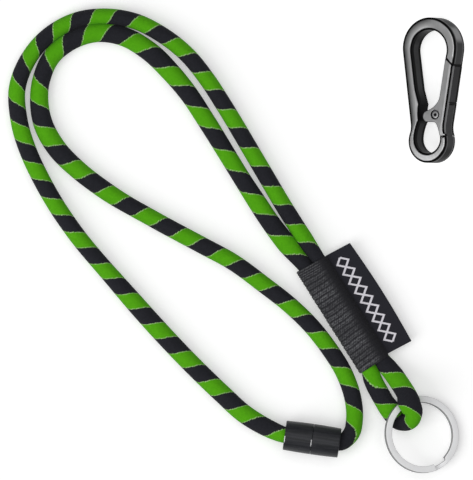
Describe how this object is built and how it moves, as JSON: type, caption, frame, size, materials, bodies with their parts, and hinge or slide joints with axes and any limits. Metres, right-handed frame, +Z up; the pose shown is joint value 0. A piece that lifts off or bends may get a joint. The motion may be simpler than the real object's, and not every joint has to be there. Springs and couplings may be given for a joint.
{
  "type": "cord lanyard",
  "caption": "Round striped cord lanyard with a breakaway connector, a webbing sleeve with a folded label, a split key ring and a separate spring hook.",
  "frame": {"origin": "on the table, under the middle of the whole layout", "axes": "+Z up from the table, +X towards the separate hook, +Y towards the bend at the top of the neck loop"},
  "size_m": [0.1931, 0.1968, 0.0198],
  "materials": {
    "striped_cord": "tubular weave, green and black spiral stripes",
    "ribbed_webbing": "black webbing, ribbed across",
    "label_weave": "close black weave",
    "connector_plastic": "dark grey, semi-matt",
    "snap_plastic": "plain moulded",
    "crimp_steel": "bright",
    "ring_steel": "nickel plated",
    "hook_metal": "satin grey",
    "gate_metal": "satin grey",
    "rivet_metal": "satin grey",
    "spring_steel": "drawn wire"
  },
  "bodies": {
    "lanyard": {"cord_outer_run": "striped_cord", "cord_inner_run": "striped_cord", "webbing_sleeve": "ribbed_webbing", "socket_barrel": "connector_plastic", "socket_insert": "snap_plastic", "socket_ferrule": "crimp_steel", "carabiner_body": "hook_metal", "gate_rivet": "rivet_metal", "gate_spring": "spring_steel"},
    "plug": {"plug_barrel": "connector_plastic", "plug_snap_collar": "snap_plastic", "plug_ferrule": "crimp_steel"},
    "ring_loop": {"cord_ring_loop": "striped_cord"},
    "ring": {"split_ring": "ring_steel"},
    "label": {"woven_label": "label_weave"},
    "gate": {"carabiner_gate": "gate_metal"}
  },
  "joints": [
    {"name": "connector_release", "type": "slide", "parent": "lanyard", "child": "plug", "axis": [-0.9898, 0.1426, 0], "range_m": [0, 0.008], "deforming": ["cord_outer_run", "plug_snap_collar"]},
    {"name": "loop_bend", "type": "hinge", "parent": "lanyard", "child": "ring_loop", "pos_m": [0.06095, -0.05594, 0.0042], "axis": [-0.8462, -0.5329, 0], "range_deg": [-60, 90], "deforming": ["cord_ring_loop"]},
    {"name": "ring_spin", "type": "hinge", "parent": "ring_loop", "child": "ring", "pos_m": [0.07842, -0.08235, 0.00555], "axis": [0.2511, 0.0914, 0.9636], "continuous": true},
    {"name": "label_flap", "type": "hinge", "parent": "lanyard", "child": "label", "pos_m": [0.05136, -0.02682, 0.0042], "axis": [0.5329, -0.8462, 0], "range_deg": [-20, 120], "stiffness_Nm_per_rad": 0.002, "deforming": ["woven_label"]},
    {"name": "gate_hinge", "type": "hinge", "parent": "lanyard", "child": "gate", "pos_m": [0.08601, 0.05294, 0.01185], "axis": [-0.5194, 0.01, 0.8545], "range_deg": [0, 25], "stiffness_Nm_per_rad": 0.1, "springref_deg": -28.65, "deforming": ["gate_spring"]}
  ]
}
